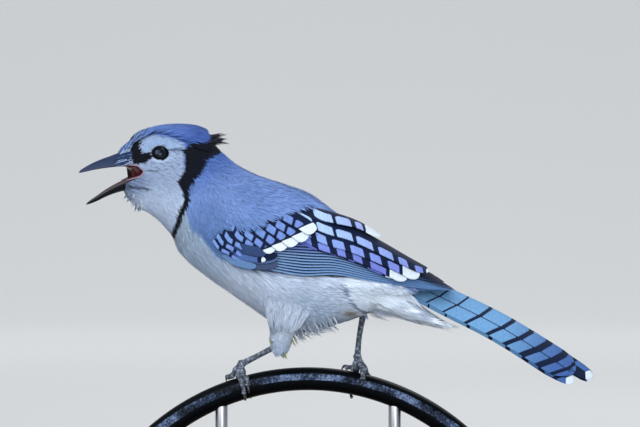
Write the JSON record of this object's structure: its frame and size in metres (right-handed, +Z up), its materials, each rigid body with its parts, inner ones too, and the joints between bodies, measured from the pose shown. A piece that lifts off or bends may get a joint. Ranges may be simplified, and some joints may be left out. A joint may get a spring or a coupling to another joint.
{
  "type": "perched blue jay model",
  "caption": "Life-size crested blue songbird calling with open bill, on a cut length of curved black rod held by a flat wooden stand.",
  "frame": {"origin": "centre of the underside of the stand's base", "axes": "+X from bill to tail along the perch, +Y to the bird's right, +Z up"},
  "size_m": [0.2495, 0.084, 0.1768],
  "materials": {
    "body_feathers": "soft, matte",
    "crest_feathers": "soft, matte",
    "wing_feathers": "smooth vanes, slight sheen",
    "tail_feathers": "smooth vanes, slight sheen",
    "white_feathers": "loose, matte",
    "bill_horn": "satin horn",
    "eye": "wet gloss",
    "leg_scales": "dry scales",
    "claw_horn": "satin horn",
    "perch_metal": "gloss black, worn and speckled",
    "stand_metal": "brushed",
    "stand_wood": "satin varnish"
  },
  "bodies": {
    "root": {"head": "body_feathers", "neck": "body_feathers", "torso": "body_feathers", "crest": "crest_feathers", "bill_upper": "bill_horn", "bill_lower": "bill_horn", "eye_left": "eye", "eye_right": "eye", "wing_left": "wing_feathers", "wing_right": "wing_feathers", "tail": "tail_feathers", "undertail_coverts": "white_feathers", "thigh_left": "white_feathers", "leg_left": "leg_scales", "foot_left": "leg_scales", "claw_left_1": "claw_horn", "claw_left_2": "claw_horn", "claw_left_3": "claw_horn", "claw_left_4": "claw_horn", "thigh_right": "white_feathers", "leg_right": "leg_scales", "foot_right": "leg_scales", "claw_right_1": "claw_horn", "claw_right_2": "claw_horn", "claw_right_3": "claw_horn", "claw_right_4": "claw_horn", "perch_rod": "perch_metal", "stand_rod_front": "stand_metal", "stand_rod_back": "stand_metal", "stand_base": "stand_wood"}
  },
  "joints": []
}
